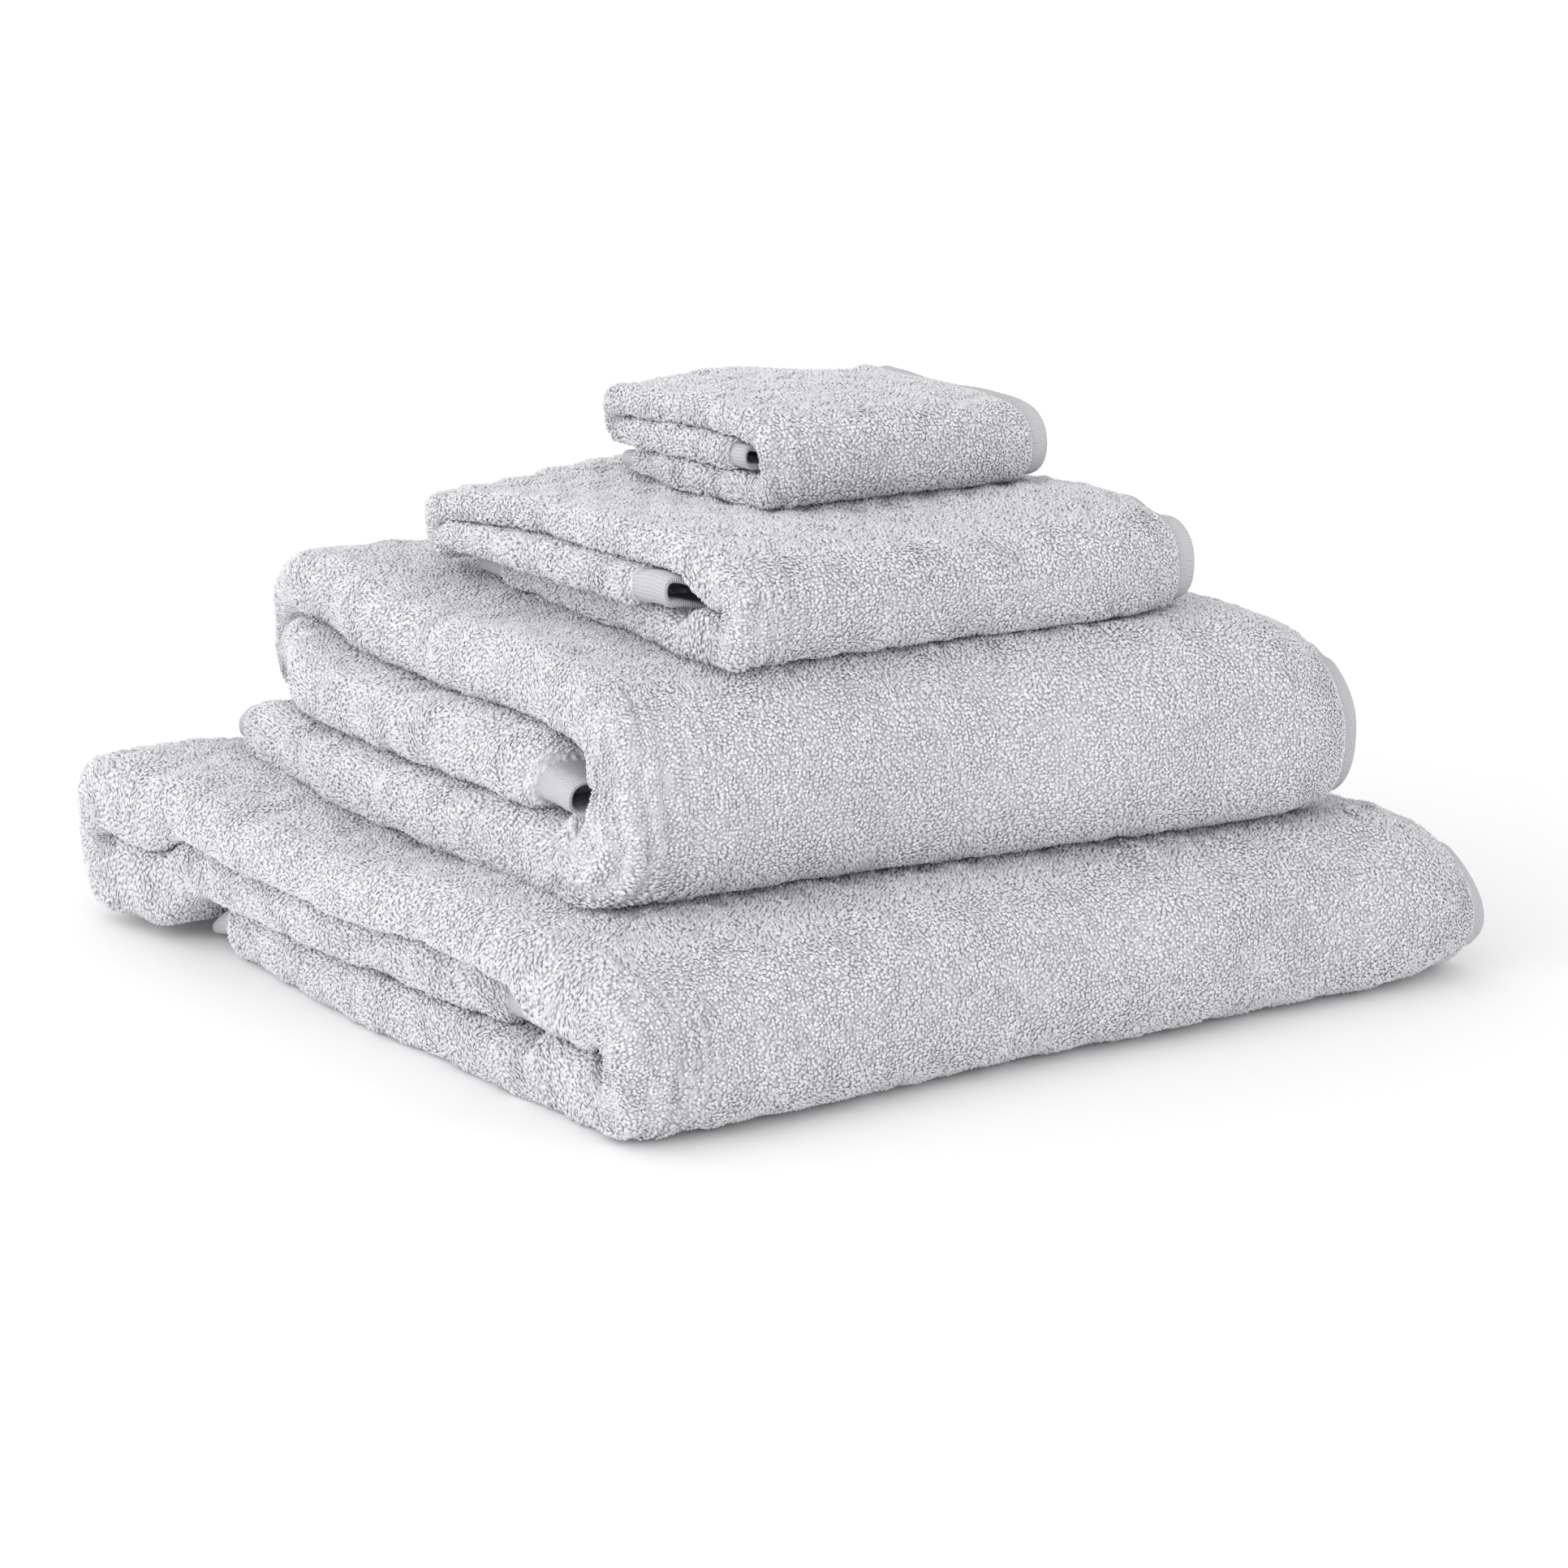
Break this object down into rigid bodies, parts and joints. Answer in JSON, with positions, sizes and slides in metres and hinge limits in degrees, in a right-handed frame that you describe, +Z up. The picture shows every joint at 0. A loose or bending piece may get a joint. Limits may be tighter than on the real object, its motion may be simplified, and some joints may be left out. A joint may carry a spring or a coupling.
{
  "type": "bath towel set",
  "caption": "Stack of folded terry towels, bath sheet to face cloth, each folded in half and then in three like a letter, with flat woven hems. The upper ones lift off.",
  "frame": {"origin": "centre of the stack's footprint on the surface it rests on, under the bath sheet", "axes": "+X right along the front folds, towards the side hems; +Y back; +Z up through the stack"},
  "size_m": [0.4683, 0.4623, 0.2481],
  "materials": {
    "terry": "loop-pile cotton terry, matt",
    "hem": "flat woven cotton, matt",
    "thread": "cotton sewing thread, matt"
  },
  "bodies": {
    "bath_sheet": {"bath_sheet_base": "terry", "bath_sheet_fold": "terry", "bath_sheet_flap": "terry", "bath_sheet_inner_end_hem": "hem", "bath_sheet_outer_end_hem": "hem", "bath_sheet_upper_side_hem": "hem", "bath_sheet_lower_side_hem": "hem", "bath_sheet_inner_end_thread": "thread", "bath_sheet_outer_end_thread": "thread", "bath_sheet_upper_side_thread": "thread", "bath_sheet_lower_side_thread": "thread"},
    "bath_towel": {"bath_towel_base": "terry", "bath_towel_fold": "terry", "bath_towel_flap": "terry", "bath_towel_inner_end_hem": "hem", "bath_towel_outer_end_hem": "hem", "bath_towel_upper_side_hem": "hem", "bath_towel_lower_side_hem": "hem", "bath_towel_inner_end_thread": "thread", "bath_towel_outer_end_thread": "thread", "bath_towel_upper_side_thread": "thread", "bath_towel_lower_side_thread": "thread"},
    "hand_towel": {"hand_towel_base": "terry", "hand_towel_fold": "terry", "hand_towel_flap": "terry", "hand_towel_inner_end_hem": "hem", "hand_towel_outer_end_hem": "hem", "hand_towel_upper_side_hem": "hem", "hand_towel_lower_side_hem": "hem", "hand_towel_inner_end_thread": "thread", "hand_towel_outer_end_thread": "thread", "hand_towel_upper_side_thread": "thread", "hand_towel_lower_side_thread": "thread"},
    "face_cloth": {"face_cloth_base": "terry", "face_cloth_base_side_hems": "hem", "face_cloth_base_side_threads": "thread", "face_cloth_outer_end_hem": "hem", "face_cloth_outer_end_thread": "thread", "face_cloth_fold": "terry", "face_cloth_fold_side_hems": "hem", "face_cloth_fold_side_threads": "thread"},
    "face_cloth_top": {"face_cloth_flap": "terry", "face_cloth_flap_side_hems": "hem", "face_cloth_flap_side_threads": "thread", "face_cloth_inner_end_hem": "hem", "face_cloth_inner_end_thread": "thread"}
  },
  "joints": [
    {"name": "bath_towel_lift", "type": "slide", "parent": "bath_sheet", "child": "bath_towel", "axis": [0, 0, 1], "range_m": [0, 0.2]},
    {"name": "hand_towel_lift", "type": "slide", "parent": "bath_towel", "child": "hand_towel", "axis": [0, 0, 1], "range_m": [0, 0.2]},
    {"name": "face_cloth_lift", "type": "slide", "parent": "hand_towel", "child": "face_cloth", "axis": [0, 0, 1], "range_m": [0, 0.2]},
    {"name": "face_cloth_open", "type": "hinge", "parent": "face_cloth", "child": "face_cloth_top", "pos_m": [0.01353, -0.0809, 0.2277], "axis": [1, 0.0087, 0], "range_deg": [0, 176], "deforming": ["face_cloth_fold", "face_cloth_fold_side_hems", "face_cloth_fold_side_threads"]}
  ]
}
